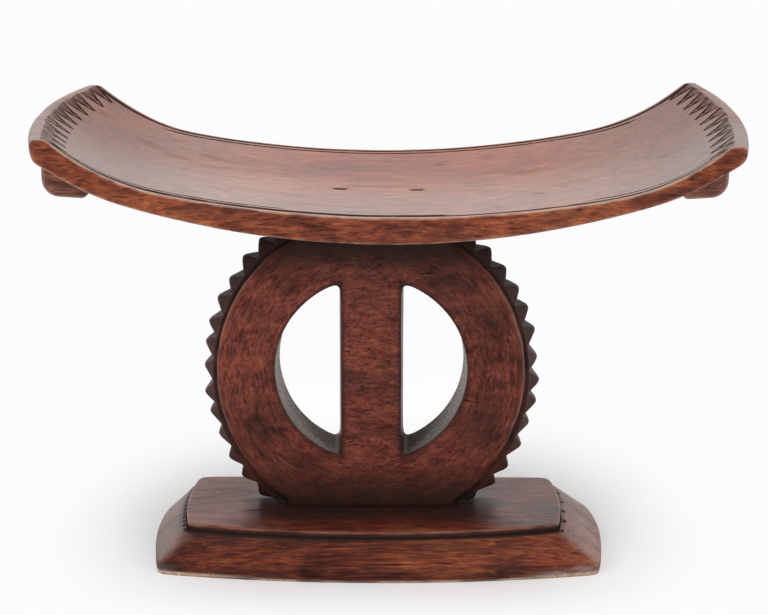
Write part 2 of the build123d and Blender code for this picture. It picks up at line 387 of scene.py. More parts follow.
def hardwood(
    name, tones, stretch=(0.07, 1, 1), shift=(0, 0, 0), figure=(0.8, 0.6, 1.1), patina=0.6, crevice_shade=0.6,
    gloss=0.40, arris_wear_and_highlight=(0.40, 0.22, 0.15), ring=None, dust_and_reflection_tones=((0.30, 0.27, 0.25), (0.58, 0.545, 0.51)),
):
    """Dark oiled hardwood: patches and fine streaks, black stains, arrises paler with wear and a painted
    highlight, painted shade in hollows.

    The tones run from dark to light, and the stretch draws the streaks out along the piece.
    """
    material = bpy.data.materials.new(name)
    tree = cleared(material)
    spot = node(tree, "ShaderNodeTexCoord", output="Object")

    def place(scale, origin=spot):
        return node(tree, "ShaderNodeMapping", sockets={"Vector": origin, "Scale": scale, "Location": shift})

    def blur(vector, scale, detail, rough=0.55, distortion=0.0):
        sockets = {"Vector": vector, "Scale": scale, "Detail": detail, "Roughness": rough}
        return node(tree, "ShaderNodeTexNoise", sockets={**sockets, "Distortion": distortion})

    def kept(mark):
        return node(tree, "ShaderNodeAttribute", {"attribute_name": mark}, output="Fac")

    along = spot
    if ring:  # the scraper followed the ring, so its streaks run round it
        parts = node(tree, "ShaderNodeSeparateXYZ", sockets={"Vector": spot})
        x, y, z = (parts.beside(axis) for axis in "XYZ")
        x, z = x - ring[0], z - ring[1]
        radius = (x * x + z * z).maths("SQRT")
        bent = {"X": x.maths("ARCTAN2", z) * ring[2], "Y": y, "Z": radius}
        bend = node(tree, "ShaderNodeCombineXYZ", sockets=bent)
        along = mix(radius.maths("GREATER_THAN", ring[2]), spot, bend, "Vector")

    combed = kept("combed")
    grain = mix(combed, place(stretch, along), place((0.05, 1.1, 1.1)), "Vector")
    lengthened = place((0.45, 1, 1))
    patches = blur(lengthened, 15.0, 3.0)
    mottle = blur(lengthened, 95.0, 4.0, 0.65)
    streaks = blur(grain, 380.0, 5.0, 0.75, 0.5)
    fibres = blur(grain, 1000.0, 3.0, 0.65)
    pores = between(blur(grain, 620.0, 1.0), 0.60, 0.72)
    stains = between(blur(lengthened, 30.0, 4.0, 0.6, 0.6), 0.52, 0.68)

    tone = patches * figure[0] + mottle * figure[1] + streaks * figure[2] - sum(figure) / 2
    tone = tone * (1.0 - combed * 0.3) + 0.5
    stops = list(zip((0.28, 0.41, 0.51, 0.62, 0.78), tones))
    colour = node(tree, "ShaderNodeValToRGB", {"stops": stops}, {"Fac": tone})
    colour = mix(between(fibres, 0.32, 0.66, 0.55, 0.0), colour, tones[0])
    colour = mix(pores * 0.6, colour, (0.012, 0.006, 0.005))
    colour = mix(stains * patina, colour, (0.030, 0.012, 0.012))

    # Rounded arrises turn paler: partly wear, partly a painted highlight where they would catch the light
    worn = between(kept("turn"), 0.10, 0.50) * between(mottle, 0.40, 0.58, 0.25, 1.0)
    colour = mix(worn * 0.6, colour, arris_wear_and_highlight)
    # Pale grey where rubbed is noted: wear along the base's foot, and a painted sheen on the seat's top and
    # the base's ends
    colour = mix(kept("rubbed") * between(streaks, 0.35, 0.6, 0.7, 1.0), colour, (0.41, 0.355, 0.325))
    # Painted shade in hollows, from how closed in each point is, joined with the stains and painted shade
    # noted on each piece
    hollow = node(tree, "ShaderNodeAmbientOcclusion", {"samples": 6}, {"Distance": 0.02}, "AO")
    shade_and_stains = between(hollow, 0.25, 0.85, 1.0, 0.0) * crevice_shade + kept("sooty")
    colour = mix(shade_and_stains.maths("MINIMUM", 1.0), colour, (0.016, 0.009, 0.008))

    rough = between(stains, 0.0, 1.0, gloss, gloss + 0.10) + between(fibres, 0.3, 0.7, 0.05, -0.03)
    height = fibres * 0.4 + streaks * 0.6 + mottle * 0.8 - pores * 0.6
    bump = node(tree, "ShaderNodeBump", sockets={"Strength": 0.35, "Distance": 0.0006, "Height": height})
    oiled = {"Base Color": colour, "Roughness": rough, "Normal": bump, "IOR": 1.5}
    # Unoiled wood is pale with dust, which on the wheel's openings is partly a painted reflection; painted
    # shade and stains darken it
    pale_dust_and_reflection = mix(between(blur(spot, 420.0, 3.0, 0.7), 0.35, 0.65), *dust_and_reflection_tones)
    pale_dust_and_reflection = mix((shade_and_stains * 0.55).maths("MINIMUM", 1.0), pale_dust_and_reflection, (0.05, 0.04, 0.035))
    dry = kept("dry")
    raw = {"Base Color": mix(dry, (0.036, 0.021, 0.017), pale_dust_and_reflection), "Roughness": 1.0, "Specular IOR Level": 0.0}
    share = between(kept("cut"), 0.05, 0.30).maths("MAXIMUM", dry).maths("MAXIMUM", kept("sooty") * 0.7)
    oiled, raw = (node(tree, "ShaderNodeBsdfPrincipled", sockets=sockets) for sockets in (oiled, raw))
    shown(either(share, oiled, raw))
    return material


def recipe(name, inputs):
    """Starts a tree of geometry nodes, with a named input for each size, seed, object or material."""
    tree = bpy.data.node_groups.new(name, "GeometryNodeTree")
    tree.interface.new_socket("Geometry", in_out="INPUT", socket_type="NodeSocketGeometry")
    for key, value in inputs.items():
        kind = {int: "Int", float: "Float"}.get(type(value), value)
        socket = tree.interface.new_socket(key, in_out="INPUT", socket_type=f"NodeSocket{kind}")
        if kind != value:
            socket.default_value = value
    tree.interface.new_socket("Geometry", in_out="OUTPUT", socket_type="NodeSocketGeometry")
    source = tree.nodes.new("NodeGroupInput")
    return tree, {key: Value(tree, source.outputs[key]) for key in ("Geometry", *inputs)}


def luck(seed, low, high, which=None):
    """A number drawn for each thing that a tree sets out, the same each time for one seed."""
    sockets = {"Min_001": low, "Max_001": high, "Seed": seed}
    if which:
        sockets["ID"] = which
    return node(seed.tree, "FunctionNodeRandomValue", {"data_type": "FLOAT"}, sockets, "Value_001")


def noted(tree, name, kind="FLOAT"):
    """What was noted on each point, for a tree of geometry nodes."""
    return node(tree, "GeometryNodeInputNamedAttribute", {"data_type": kind}, {"Name": name}, "Attribute")


def ended(made, wood):
    """Ends a tree of geometry nodes: copies become real and take their wood."""
    made = node(made.tree, "GeometryNodeRealizeInstances", sockets={"Geometry": made})
    made = node(made.tree, "GeometryNodeSetMaterial", sockets={"Geometry": made, "Material": wood})
    output = made.tree.nodes.new("NodeGroupOutput")
    made.tree.links.new(made.socket, output.inputs["Geometry"])
    return made.tree


def finished(piece):
    """The plain mesh that a piece's modifiers make of it, after which they go."""
    bpy.context.view_layer.update()
    evaluated = piece.evaluated_get(bpy.context.evaluated_depsgraph_get())
    mesh = bpy.data.meshes.new_from_object(evaluated)
    piece.modifiers.clear()
    return mesh


def worked(piece, tree, name, inputs):
    """What a tree of geometry nodes makes of a piece, as a new object."""
    modifier = piece.modifiers.new("work", "NODES")
    modifier.node_group = tree
    for item in tree.interface.items_tree:
        if item.in_out == "INPUT" and item.name in inputs:
            modifier[item.identifier] = inputs[item.name]
    made = placed(name, finished(piece))
    bpy.data.objects.remove(piece)
    return made


def join_wood(piece, tool, operation, crossing=False):
    """Adds one closed shape to another, or takes it away, and clears up the tool."""
    modifier = piece.modifiers.new("join", "BOOLEAN")
    modifier.operation, modifier.object, modifier.solver = operation, tool, "EXACT"
    modifier.use_self = crossing
    piece.data = finished(piece)
    bpy.data.objects.remove(tool)


base_foot = hewn(bowed_outline(BASE_OUTLINE), 80)
base_brow = hewn(bowed_outline(PLINTH_OUTLINE, LEDGE, PLINTH_SHIFT), 8)
base_recess = bowed_outline(PLINTH_OUTLINE, FIT, PLINTH_SHIFT)
base_holes = [circle(place, PEG_RADIUS + FIT) for place in PEG_PLACES]
base_carving = Carving()
rings = [level(inset(base_foot, 1.5), 0.0), level(inset(base_foot, 0.5), 0.5)]
rings += [level(base_foot, z) for z in (1.5, 2.6, 4.5, 7.5, 10.0)]
for climb in (0.03, 0.08, 0.2, 0.35, 0.5, 0.65, 0.8, 0.92, 0.975):
    bevel = base_foot + climb * (base_brow - base_foot)
    rings.append(level(bevel, BASE_EDGE + climb * (BASE_TOP - BASE_EDGE)))
rings += [level(inset(base_brow, 0.5), BASE_TOP), level(inset(base_brow, 1.2), BASE_TOP)]
rings += [level(base_recess, z) for z in (BASE_TOP - 0.2, 28.0, PLINTH_BOTTOM)]
base_carving.walls(rings)
base_carving.shelf([rings[0][:, :2], *base_holes], 0.0, 7.0)
base_carving.shelf([base_recess, *base_holes], PLINTH_BOTTOM, 7.0)
for hole in base_holes:
    base_carving.shaft(hole, 0.0, PLINTH_BOTTOM)
base = base_carving.finish("carved_base", 0.6, lambda p: min(1.0, p.z / 2))


def stabber():
    """Geometry nodes that set a small pointed wedge on each point, uneven in size and turn."""
    tree, given = recipe("stab_marks", {"Depth": 0.004, "Unevenness": 0.3, "Seed": 2, "Wood": "Material"})
    wedge = node(
        tree, "GeometryNodeMeshCone", {"fill_type": "NGON"},
        {"Vertices": 4, "Radius Top": 1.0, "Radius Bottom": 0.0, "Depth": given["Depth"]},
    )
    turn = node(tree, "ShaderNodeCombineXYZ", sockets={"Z": luck(given["Seed"] + 1, -0.5, 0.5)})
    size = noted(tree, "half_width") * (1.0 + luck(given["Seed"] + 2, -1.0, 1.0) * given["Unevenness"])
    longer = size * luck(given["Seed"] + 3, 1.3, 1.9)
    stretch = node(tree, "ShaderNodeCombineXYZ", sockets={"X": size, "Y": longer, "Z": 1.0})
    wedges = node(
        tree, "GeometryNodeInstanceOnPoints",
        sockets={"Points": given["Geometry"], "Instance": wedge, "Rotation": turn, "Scale": stretch},
    )
    return ended(wedges, given["Wood"])


def plinth_end(side, depths):
    """Where an end of the plinth lies, at each depth."""
    length, width, bow = PLINTH_OUTLINE[:3]
    return PLINTH_SHIFT + side * (length / 2 + bow * (1 - (2 * depths / width) ** 2))


base_wood = hardwood(
    "base_hardwood",
    ((0.040, 0.009, 0.006), (0.110, 0.021, 0.010), (0.205, 0.038, 0.014), (0.32, 0.072, 0.021),
     (0.45, 0.135, 0.040)),
    stretch=(0.06, 1.4, 1.4),
    figure=(0.8, 0.45, 1.2),
    crevice_shade=0.35,
    dust_and_reflection_tones=((0.46, 0.27, 0.17), (0.78, 0.56, 0.40)),
)
stabs = []
for side, count, gap, half_width in ((-1, 13, 2.4, 1.7), (1, 6, 3.2, 3.3)):
    for depth in np.linspace(-50, 50, count):
        stabs.append((plinth_end(side, depth) + side * gap, depth, BASE_TOP - STAB_DEPTH, half_width))
stabs = np.array(stabs)
marked = drawn("stab_places", (stabs[:, :3] * MM).tolist())
note(marked, "half_width", stabs[:, 3] * MM)
wedges = worked(marked, stabber(), "stabs", {"Depth": (STAB_DEPTH + 1) * MM, "Seed": 3, "Wood": base_wood})
base.data.materials.append(base_wood)
join_wood(base, wedges, "DIFFERENCE", crossing=True)
crisp(base)
note_arris_turn(base)
x, y, z = places(base).T
nearest = np.min([np.hypot(x - u, y - v) for u, v in stabs[:, :2]], 0)
note(base, "cut", (nearest < 0.7) & (z < BASE_TOP - 2.5) & (z > PLINTH_BOTTOM + 2))
# Worn pale and scuffed along the foot in front, with a pale painted sheen on both ends, painted shade on the
# ledge below the plinth, and darker high on the bevel at the left and front and low at the front left corner
to_end = ramp(np.abs(x), 128.0, 172.0) * ramp(np.abs(x) / 175.5 - np.abs(y) / 69.0, -0.05, 0.05)
foot_line = ramp(z, 2.6, 1.5) * (0.3 + 0.7 * ramp(np.sin(x / 17.0) + np.sin(x / 7.3), -0.9, 0.6))
foot_ends = np.maximum(ramp(x, -75.0, -150.0), ramp(x, 95.0, 160.0))
forward = ramp(y, 5.0, -45.0)
foot_line = np.maximum(foot_line, ramp(z, 4.5, 2.6) * foot_ends) * forward
scuffs = spotted(x, z, ((163, 5, 9, 4, 1), (140, 3, 14, 3, 1), (-170, 4, 7, 4, 1)))
# wear along the foot and scuffs, and a painted sheen on the ends
note(base, "rubbed", np.clip(0.34 * to_end + foot_line + 0.65 * scuffs * forward, 0, 1))
corner = ramp(x, -130.0, -165.0) * (y < 0)
# painted shade on the ledge below the plinth's edge, deeper in front
ledge_shade_and_darkening = ramp(z, 29.6, 31.0) * (0.25 + 0.6 * ramp(-y, 46.0, 54.0))
ledge_shade_and_darkening = ledge_shade_and_darkening + 0.35 * ramp(z, 25.5, 30.0) * ramp(x, 20.0, -90.0)
ledge_shade_and_darkening = ledge_shade_and_darkening + 0.14 * ramp(z, 12.0, 26.0) * (y < 0) * (1 - to_end) + 0.4 * corner * ramp(z, 14.0, 6.0)
note(base, "sooty", ledge_shade_and_darkening * (1 - foot_line))
note(base, "dry", 0.9 * foot_line)
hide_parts("base")
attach(base, "root")

# ---------------------------------------------------------------- plinth

# The plinth is a thin plank with bowed sides, dropped into the base and standing a little proud.
# Its top edge is rubbed round. A flat housing in its middle takes the wheel's foot.

PLINTH_TOP = 36.5
PLINTH_ROUND = 1.8
FOOT_BOTTOM = 33.5
WHEEL_SHIFT = -6.0
WHEEL_DEPTH = 40.0
FOOT_LENGTH = 138.0


def housing(length):
    """The square-cornered socket that takes the wheel's foot or neck."""
    x, y = length / 2 + FIT, WHEEL_DEPTH / 2 + FIT
    corners = np.array([(-x, -y), (x, -y), (x, y), (-x, y), (-x, -y)]) + (WHEEL_SHIFT, SETBACK)
    loop = []
    for start, end in zip(corners[:-1], corners[1:]):
        steps = int(np.linalg.norm(end - start) / 3)
        loop += [start + (end - start) * step / steps for step in range(steps)]
    return np.array(loop)


def quarter_round(radius, steps):
    """How far in and how far down the rings of a rounded edge lie, from its side to its top."""
    turns = [radians(90 * step / steps) for step in range(steps + 1)]
    return [(radius * (1 - cos(turn)), radius * (1 - sin(turn))) for turn in turns]


plinth_edge = hewn(bowed_outline(PLINTH_OUTLINE, 0.0, PLINTH_SHIFT), 8)
foot_socket = housing(FOOT_LENGTH)
plinth_carving = Carving()
rings = [level(plinth_edge, z) for z in (PLINTH_BOTTOM, 28.0, 31.5, 34.0)]
rings += [level(inset(plinth_edge, by), PLINTH_TOP - down) for by, down in quarter_round(PLINTH_ROUND, 4)]
plinth_carving.walls(rings)
plinth_carving.shelf([plinth_edge, *base_holes], PLINTH_BOTTOM, 7.0)
crack = np.array(
    [(-118.5, -24.1, 0.0), (-104.4, -23.3, 0.6), (-92.3, -21.2, 0.9), (-84, -20.4, 1.4), (-76.8, -19.2, 0.0)]
)
plinth_carving.shelf([rings[-1][:, :2], foot_socket], PLINTH_TOP, 3.0, [crack])
plinth_carving.shaft(foot_socket, PLINTH_TOP, FOOT_BOTTOM)
plinth_carving.shelf([foot_socket, *base_holes], FOOT_BOTTOM, 7.0)
for hole in base_holes:
    plinth_carving.shaft(hole, PLINTH_BOTTOM, FOOT_BOTTOM)
plinth = plinth_carving.finish("carved_plinth", 0.5)
crisp(plinth)
note_arris_turn(plinth)
x, y, z = places(plinth).T
# Painted shade round the wheel's foot and down the plinth's sides, and a painted reflection of the dark wheel
# on the top in front of it
past_foot = np.maximum(np.abs(x - WHEEL_SHIFT) - FOOT_LENGTH / 2, 0)
from_foot = np.hypot(past_foot, np.maximum(np.abs(y - SETBACK) - WHEEL_DEPTH / 2, 0))
wheel_shade_and_reflection = np.maximum(ramp(from_foot, 9.0, 2.0), 0.8 * ramp(from_foot, 44.0, 14.0) * (y < SETBACK))
note(plinth, "sooty", 0.85 * np.maximum(wheel_shade_and_reflection, ramp(z, PLINTH_TOP - 1.2, PLINTH_TOP - 3.2)))
plinth.data.materials.append(
    hardwood(
        "plinth_hardwood",
        ((0.040, 0.009, 0.006), (0.105, 0.023, 0.013), (0.185, 0.040, 0.022), (0.275, 0.070, 0.036),
         (0.37, 0.120, 0.062)),
        shift=(0.3, 0.1, 0.2),
        gloss=0.32,
        arris_wear_and_highlight=(0.22, 0.12, 0.095),
    )
)
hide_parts("plinth")
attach(plinth, "root")

# ---------------------------------------------------------------- wheel

# The wheel is one block: a ring with a post up its middle, a square foot and a square neck.
# The two D-shaped openings are chiselled through from the front and close in towards the back.
# Round the ring runs a raised rim, notched into forty-five blunt pyramid teeth.

SEAT_UNDER = 285.0
NECK_TOP = 288.0
NECK_LENGTH = 96.0
RING_CENTRE = 149.0
RING_HALF = (124.5, 129.5)
OPENING_CENTRE = 152.5
OPENING_RADIUS = 77.0
OPENING_DRAFT = 2.0
POST_HALF = 24.25
RIM_CENTRE = 146.5
RIM_HALF = (136.5, 145.5)
RIM_WIDTH = 26.0
TOOTH_COUNT = 45
TOOTH_HEIGHT = 9.5
TOOTH_CREEP = 0.22  # of a tooth, by which those at both sides were set out a little high
RIM_BOTTOM = 39.0
RIM_ROOT = 16.0  # how far the rim reaches into the ring
OPENING_ROUND = 0.9
WHEEL_FRONT, WHEEL_BACK = SETBACK - WHEEL_DEPTH / 2, SETBACK + WHEEL_DEPTH / 2
UNDERSIDE_RADIUS = 660.0
SLAB_HALF, SLAB_FOOT, SLAB_TOP = 110.0, -20.0, 330.0  # reach of the blocks that trim the rim
SEAT_SHIFT = 7.5


def evenly(loop, spacing):
    """The same closed outline with points at even steps between its corners."""
    ends = np.vstack((loop, loop[:1]))
    length = np.concatenate(([0], np.cumsum(np.linalg.norm(np.diff(ends, axis=0), axis=1))))
    steps = np.linspace(0, length[-1], int(length[-1] / spacing), endpoint=False)
    return np.column_stack([np.interp(steps, length, ends[:, axis]) for axis in (0, 1)])


def ring_outline():
    """The wheel seen from the front, anticlockwise: foot, oval ring and neck."""
    half_x, half_z = RING_HALF
    foot = FOOT_LENGTH / 2
    neck = NECK_LENGTH / 2
    low = atan2(-half_x * sqrt(1 - (foot / half_x) ** 2), foot)
    high = atan2(half_x * sqrt(1 - (neck / half_x) ** 2), neck)
    turn = np.linspace(low, high, 120)
    right = np.column_stack((half_x * np.cos(turn), RING_CENTRE + half_z * np.sin(turn)))
    left = right[::-1] * (-1, 1)
    foot_line = [(-foot, FOOT_BOTTOM), (foot, FOOT_BOTTOM)]
    neck_line = [(neck, NECK_TOP), (-neck, NECK_TOP)]
    return np.vstack((foot_line, right, neck_line, left)) + (WHEEL_SHIFT, 0)


def opening_outline(side, radius, post):
    """One D-shaped opening, clockwise, so that its own left is the wood round it."""
    reach = pi / 2 - asin(post / radius)
    turn = np.linspace(-reach, reach, 100)
    bow = np.column_stack((radius * np.cos(turn), radius * np.sin(turn)))
    foot, head = bow[0], bow[-1]
    post_line = [head + (foot - head) * step / 60 for step in range(1, 60)]
    loop = eased(np.vstack((bow, post_line)), 14) * (side, 1) + (WHEEL_SHIFT, OPENING_CENTRE)
    return loop[::-1] if side > 0 else loop


def upright(loop, y):
    """An outline drawn from the front, stood up at a depth."""
    return level(loop, y)[:, [0, 2, 1]]


ring_edge = eased(evenly(ring_outline(), 2.2), 2)
ring_edge = inset(ring_edge, [0.5 + 0.5 * noise.noise(Vector((x / 14, 0, z / 14))) for x, z in ring_edge])
front_openings = [opening_outline(side, OPENING_RADIUS, POST_HALF) for side in (-1, 1)]
back_openings = [
    opening_outline(side, OPENING_RADIUS - OPENING_DRAFT, POST_HALF + OPENING_DRAFT) for side in (-1, 1)
]
x, z = ring_edge.T
edge_round = 3.0 + (1.5 + 2.4 * ramp(x, 10.0, 110.0)) * ramp(z, 44.0, 80.0) * ramp(z, 284.0, 255.0)
edge_rings = quarter_round(edge_round, 3)
wheel_carving = Carving()
rings = [upright(inset(ring_edge, by), WHEEL_FRONT + down) for by, down in reversed(edge_rings)]
rings += [upright(ring_edge, WHEEL_FRONT + depth) for depth in (7.5, 10.0, 20.0, 30.0, 32.5)]
rings += [upright(inset(ring_edge, by), WHEEL_BACK - down) for by, down in edge_rings]
wheel_carving.walls(rings)
opening_rings = quarter_round(OPENING_ROUND, 3)
for front, back in zip(front_openings, back_openings):
    rings = [upright(inset(front, by), WHEEL_FRONT + down) for by, down in reversed(opening_rings)]
    for share in (0.1, 0.25, 0.4, 0.55, 0.7, 0.85, 0.93):
        rings.append(upright(front + share * (back - front), WHEEL_FRONT + share * WHEEL_DEPTH))
    rings += [upright(inset(back, by), WHEEL_BACK - down) for by, down in opening_rings]
    wheel_carving.walls(rings)


def overcut(start, end, width):
    """A single knife stroke that starts wide and runs out to nothing."""
    start, end = np.array(start), np.array(end)
    shares = ((0, 0), (0.15, 1), (0.6, 0.6), (1, 0))
    return np.array([(*(start + (end - start) * t), width * share) for t, share in shares])


front_cuts = [
    overcut((-33, 76), (-28, 71), 0.6),
    overcut((-36, 79), (-43, 79), 0.6),
    overcut((56, 131), (89, 124), 0.75),
    overcut((43, 234), (28, 233.5), 0.9),
]
face_edge = inset(ring_edge, edge_round)
face_front = [face_edge, *[inset(loop, OPENING_ROUND) for loop in front_openings]]
face_back = [face_edge, *[inset(loop, OPENING_ROUND) for loop in back_openings]]
wheel_carving.face(face_front, lambda p: upright(p, WHEEL_FRONT), 3.0, front_cuts, (0, -1, 0))
wheel_carving.face(face_back, lambda p: upright(p, WHEEL_BACK), 3.0)
wheel = wheel_carving.finish("carved_wheel", 0.6)


def rim_blank():
    """The raised rim before its teeth are notched, with each point's place round and across it."""
    across = np.array((0.0, -1, *np.linspace(-1, 1, 23), 1))
    out = np.array((-RIM_ROOT, -RIM_ROOT, *[0] * 23, -RIM_ROOT))
    rows, columns = len(across), TOOTH_COUNT * 18
    turn = pi + (np.arange(columns) / columns - 0.5 / TOOTH_COUNT) * 2 * pi
    outward = np.column_stack((np.cos(turn), np.sin(turn)))
    root = np.array(RIM_HALF) - TOOTH_HEIGHT
    rings = [
        upright((root + o) * outward + (WHEEL_SHIFT, RIM_CENTRE), SETBACK + u * RIM_WIDTH / 2)
        for u, o in zip(across, out)
    ]
    here = np.arange(rows * columns).reshape(rows, columns)
    above = np.roll(here, -1, 0)
    faces = np.stack((here, np.roll(here, -1, 1), np.roll(above, -1, 1), above), 2).reshape(-1, 4)
    piece = drawn("rim_blank", (np.concatenate(rings) * MM).tolist(), faces=faces.tolist())
    along = np.arange(columns) / columns * TOOTH_COUNT - TOOTH_CREEP * np.cos(turn)
    note(piece, "along", np.tile(along, rows))
    note(piece, "across", np.repeat(across, columns))
    note(piece, "raised", np.repeat(out == 0, columns))
    ways = piece.data.attributes.new("outward", "FLOAT_VECTOR", "POINT")
    ways.data.foreach_set("vector", np.tile(upright(outward, 0.0), (rows, 1)).ravel())
    return piece


def tooth_notcher():
    """Geometry nodes that raise blunt pyramid teeth along a rim, each a little different."""
    inputs = {"Tooth Height": 0.009, "Tip Share": 0.12, "Ridge Share": 0.16, "Unevenness": 0.22, "Seed": 4}
    tree, given = recipe("notch_teeth", {**inputs, "Wood": "Material"})
    along = noted(tree, "along")
    which = along.maths("FLOOR")
    place = along - which
    which = which.maths("FLOORED_MODULO", float(TOOTH_COUNT))
    lean = luck(given["Seed"] + 1, -1.0, 1.0, which) * given["Unevenness"] * 2.0
    place = place + lean * place * (1.0 - place)
    notch = (1.0 - (place - 0.5).maths("ABSOLUTE") * 2.0) / (1.0 - given["Tip Share"])
    roof = (1.0 - noted(tree, "across").maths("ABSOLUTE")) / (1.0 - given["Ridge Share"])
    blunt = notch.maths("SMOOTH_MIN", roof, 0.05).maths("SMOOTH_MIN", 1.0, 0.30)
    tall = given["Tooth Height"] * (1.0 - luck(given["Seed"] + 2, 0.0, 1.0, which) * given["Unevenness"])
    lift = blunt.maths("MAXIMUM", 0.0) * tall * noted(tree, "raised")
    ways = {"Vector": noted(tree, "outward", "FLOAT_VECTOR"), "Scale": lift}
    offset = node(tree, "ShaderNodeVectorMath", {"operation": "SCALE"}, ways)
    shaped = node(tree, "GeometryNodeSetPosition", sockets={"Geometry": given["Geometry"], "Offset": offset})
    return ended(shaped, given["Wood"])


def slab(name, outline):
    """A block that reaches past both sides of the rim, to cut it with."""
    block = Carving()
    front, back = WHEEL_FRONT - 8, WHEEL_BACK + 8
    block.walls([upright(outline, front), upright(outline, back)])
    for y in (front, back):
        block.face([outline], lambda p: upright(p, y), 50.0)
    return block.finish(name, 0.0)


wheel_wood = hardwood(
    "wheel_hardwood",
    ((0.050, 0.011, 0.008), (0.135, 0.026, 0.015), (0.240, 0.048, 0.026), (0.350, 0.078, 0.033),
     (0.47, 0.135, 0.050)),
    stretch=(0.30, 1, 0.9),
    shift=(0.1, 0.7, 0.4),
    figure=(0.35, 0.5, 0.8),
    patina=0.35,
    arris_wear_and_highlight=(0.27, 0.17, 0.14),
    ring=(WHEEL_SHIFT * MM, OPENING_CENTRE * MM, (OPENING_RADIUS + 1.0) * MM),
)
wheel.data.materials.append(wheel_wood)
teeth = {"Tooth Height": TOOTH_HEIGHT * MM, "Seed": 11, "Wood": wheel_wood}
rim = worked(rim_blank(), tooth_notcher(), "rim", teeth)
line = np.linspace(-SLAB_HALF, SLAB_HALF, 45)
under_line = SEAT_UNDER + UNDERSIDE_RADIUS - np.sqrt(UNDERSIDE_RADIUS**2 - (line - SEAT_SHIFT) ** 2)
bed = np.vstack((np.column_stack((line, under_line - 0.25)), [(SLAB_HALF, SLAB_TOP), (-SLAB_HALF, SLAB_TOP)]))
join_wood(rim, slab("bed", bed), "DIFFERENCE")
ground = np.array([(-1, SLAB_FOOT), (1, SLAB_FOOT), (1, RIM_BOTTOM), (-1, RIM_BOTTOM)]) * (SLAB_HALF, 1)
join_wood(rim, slab("ground", ground), "DIFFERENCE")
join_wood(wheel, rim, "UNION")
crisp(wheel)
turn = note_arris_turn(wheel)
x, y, z = places(wheel).T
depth = y - WHEEL_FRONT
from_centre = np.hypot(x - WHEEL_SHIFT, z - OPENING_CENTRE)
round_openings = from_centre < OPENING_RADIUS + 2.5
note(wheel, "turn", np.where(round_openings, 0.0, turn))
# Painted shade lies between the teeth and under the seat, the ring darkens towards its foot, and smoke stains
# mark its face
on_post = np.abs(x - WHEEL_SHIFT)
# darker along the post's edges at the front
edges = ramp(on_post, POST_HALF - 3.0, POST_HALF - 1.0) * ramp(depth, 3.0, 1.0)
edges = edges * ramp(from_centre, OPENING_RADIUS + 3.0, OPENING_RADIUS - 0.5)
smoke = spotted(
    x, z,
    ((90, 196, 20, 16, 0.35), (86, 104, 18, 24, 0.4), (-66, 68, 26, 14, 0.4), (62, 226, 30, 12, 0.4),
     (-96, 102, 15, 24, 0.3)),
)
# painted shade between the teeth, deeper towards the seat
on_rim = np.hypot((x - WHEEL_SHIFT) / RING_HALF[0], (z - RING_CENTRE) / RING_HALF[1]) > 0.985
on_rim = on_rim * ramp(depth, 5.0, 8.0) * ramp(WHEEL_DEPTH - depth, 5.0, 8.0) * (z > PLINTH_TOP + 8)
shade = 0.62 + 0.33 * ramp(z, 160.0, 250.0)
# painted shade under the seat, and darker towards the foot
seat_shade_and_dark_foot = np.maximum(0.66 * ramp(z, 82.0, 45.0), 0.86 * ramp(z, 226.0, 260.0))
# the openings' walls darker low down, more in the right one
on_wall = (from_centre < OPENING_RADIUS + 0.5) * ramp(depth, 1.5, 5.0)
low_wall_darkening = on_wall * (0.45 + 0.5 * (x > WHEEL_SHIFT)) * ramp(z, 150.0, 80.0)
note(wheel, "sooty", np.max([on_rim * shade, seat_shade_and_dark_foot, 0.6 * edges, low_wall_darkening, smoke], 0))
# pale dust on the openings' walls, partly a painted reflection of the pale surroundings
wall_dust_and_reflection = on_wall * ramp(WHEEL_DEPTH - depth, 0.5, 2.0)
note(wheel, "dry", wall_dust_and_reflection * (0.25 + 0.75 * ramp(on_post, POST_HALF + 2.0, POST_HALF + 6.0)))
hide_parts("wheel")
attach(wheel, "root")

# ---------------------------------------------------------------- seat

# The seat is one wide board, bowed up to a rolled nose at each end and a little fuller in length
# across its middle. Knife lines run inside both long edges, and a band of zigzag cuts crosses
# each end. A housing below takes the wheel's neck, with a blind hole for each of its two pegs.

SEAT_FRONT, SEAT_MIDDLE, SEAT_BACK = -122.5, -3.0, 116.5
SEAT_LENGTHS = (517.0, 543.0, 516.0)
SEAT_TOP = 305.5
SEAT_TWIST = tan(radians(0.55)) / 119.5  # rise along the seat for each millimetre further back
SADDLE_RADIUS = 900.0
SADDLE_SPAN = 160.0
UNDER_SPAN = 195.0
NOSE_TOP = SEAT_TOP + 55.1
NOSE_HEIGHT = 13.8
NOSE_TOP_SLOPE = radians(38.0)
NOSE_UNDER_SLOPE = radians(32.0)
SEAT_ARRIS = 1.5
LUG_PEG_RADIUS = 5.0
LUG_PEG_TOP = 341.5
LUG_PEG_PLACES = ((5.0 - 248.5, SEAT_MIDDLE), (5.0 + 248.5, SEAT_MIDDLE))
PEG_TOP = 298.5
NOSE_MIDDLE = 9  # the point of the nose that lies in the middle of its flat top
BACK_LEFT_SHORT = 6.0  # that the back left corner is short
TOP_SPACING = 3.5  # between the points of the seat's top
BAND_INNER = 29.0  # from the seat's end to the inner points of the zigzag
BAND_WIDTH = 20.3
FANS = 12


